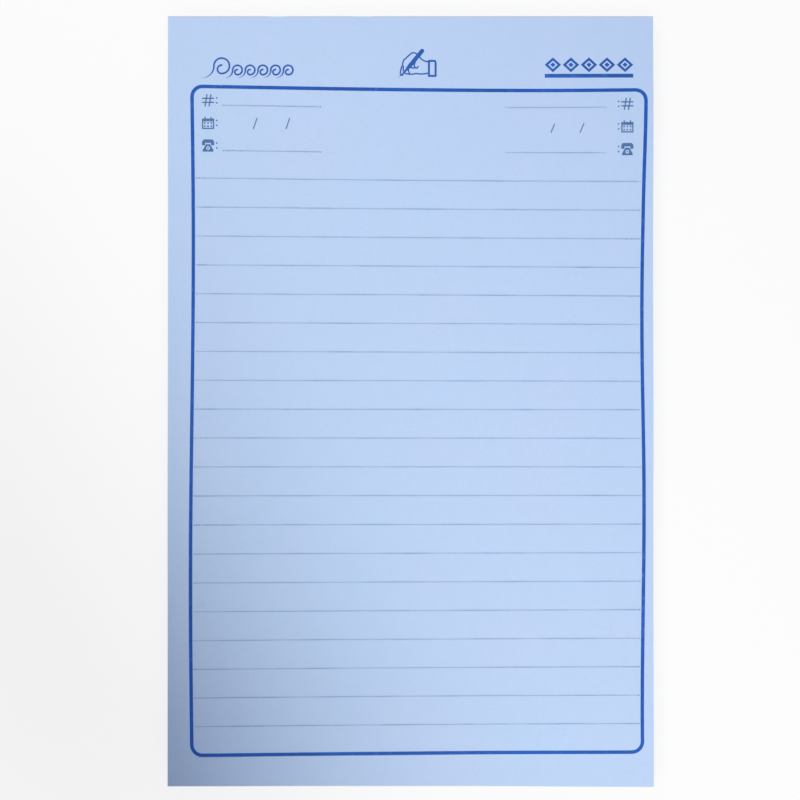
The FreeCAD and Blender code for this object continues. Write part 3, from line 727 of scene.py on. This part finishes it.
def make_world():
    """An even pale surround that fills the shadows, and is white where the camera sees it."""
    world = bpy.data.worlds.new("studio")
    bpy.context.scene.world = world
    world.use_nodes = True
    nodes, links = world.node_tree.nodes, world.node_tree.links
    fill = nodes["Background"]
    fill.inputs["Color"].default_value = (*FILL_TINT, 1.0)
    fill.inputs["Strength"].default_value = FILL_SHARE
    seen = nodes.new("ShaderNodeBackground")
    seen.inputs["Color"].default_value = (*WHITE, 1.0)
    seen.inputs["Strength"].default_value = 1.0
    mix = nodes.new("ShaderNodeMixShader")
    links.new(camera_share(nodes, links), mix.inputs["Fac"])
    links.new(fill.outputs["Background"], mix.inputs[1])
    links.new(seen.outputs["Background"], mix.inputs[2])
    links.new(mix.outputs["Shader"], nodes["World Output"].inputs["Surface"])


def make_lamp(name, size, share, place, target):
    """A soft square lamp, with the power that gives its share of the light at its target."""
    data = bpy.data.lights.new(name, "AREA")
    data.shape = "SQUARE"
    data.size = size
    offset = Vector(place) - Vector(target)
    slant = offset.z / offset.length
    data.energy = math.pi**2 * share * offset.length_squared / slant
    data.color = LAMP_TINT
    lamp = add_object(name, data)
    lamp.location = place
    lamp.rotation_mode = "QUATERNION"
    lamp.rotation_quaternion = (-offset).to_track_quat("-Z", "Y")


def make_card():
    """A dark card off the page's lower left corner. It is seen only by the soft shade it gives."""
    across, along = CARD_SIZE
    middle = CARD_REACH + across / 2
    place = (middle * math.cos(CARD_TURN), middle * math.sin(CARD_TURN), CARD_HEIGHT)
    bpy.ops.mesh.primitive_plane_add(size=1.0, location=place, rotation=(0.0, 0.0, CARD_TURN))
    card = bpy.context.object
    card.name = "shade_card"
    card.scale = (across, along, 1.0)
    card.visible_camera = False
    card.visible_glossy = False
    card.visible_transmission = False
    material = bpy.data.materials.new("card_grey")
    material.use_nodes = True
    shader = material.node_tree.nodes["Principled BSDF"]
    shader.inputs["Base Color"].default_value = (CARD_TONE, CARD_TONE, CARD_TONE, 1.0)
    card.data.materials.append(material)


def make_camera():
    """Straight above the pad, so framed that the page falls on the photograph's pixels."""
    pixel = WIDTH / (PAD_PIXELS_X[1] - PAD_PIXELS_X[0])
    data = bpy.data.cameras.new("view")
    data.sensor_width = SENSOR
    data.lens = SENSOR * CAMERA_HEIGHT / (pixel * IMAGE_WIDTH)
    camera = add_object("view", data)
    centre = IMAGE_WIDTH / 2
    x = MIDDLE_X + (centre - sum(PAD_PIXELS_X) / 2) * pixel
    y = MIDDLE_Y - (centre - sum(PAD_PIXELS_Y) / 2) * pixel
    camera.location = (x, y, PAGE_TOP + CAMERA_HEIGHT)
    camera.rotation_euler = (0.0, 0.0, 0.0)
    bpy.context.scene.camera = camera


make_camera()
make_world()
make_lamp("key", KEY_SIZE, KEY_SHARE, KEY_PLACE, KEY_AIM)
make_lamp("head_lamp", HEAD_LAMP_SIZE, HEAD_LAMP_SHARE, HEAD_LAMP_PLACE, HEAD_LAMP_AIM)
make_floor()
make_card()

make_sheets(make_paper("pad_paper", False), make_paper("pad_paper_edges", True))
make_board(make_chipboard())
make_glue(make_adhesive())

frame_ink = make_ink("frame_ink", FRAME_INK)
heading_ink = make_ink("heading_ink", HEADING_INK)
label_ink = make_ink("label_ink", LABEL_INK)
dot_ink = make_ink("dot_ink", DOT_INK)
make_printed("page_frame", frame_ink, "blue_ink", strays=True)
for node in ("scroll_heading", "writing_hand", "lozenge_heading"):
    make_printed(node, heading_ink, "heading_ink")
for node in ("date_strokes", "number_marks", "calendar_marks", "telephone_marks", "mark_colons"):
    make_printed(node, label_ink, "label_ink", drop=MARK_DROP)
make_dotted("ruled_lines", dot_ink)
make_dotted("entry_lines", dot_ink, held=True)

bpy.context.scene.view_settings.view_transform = "Standard"
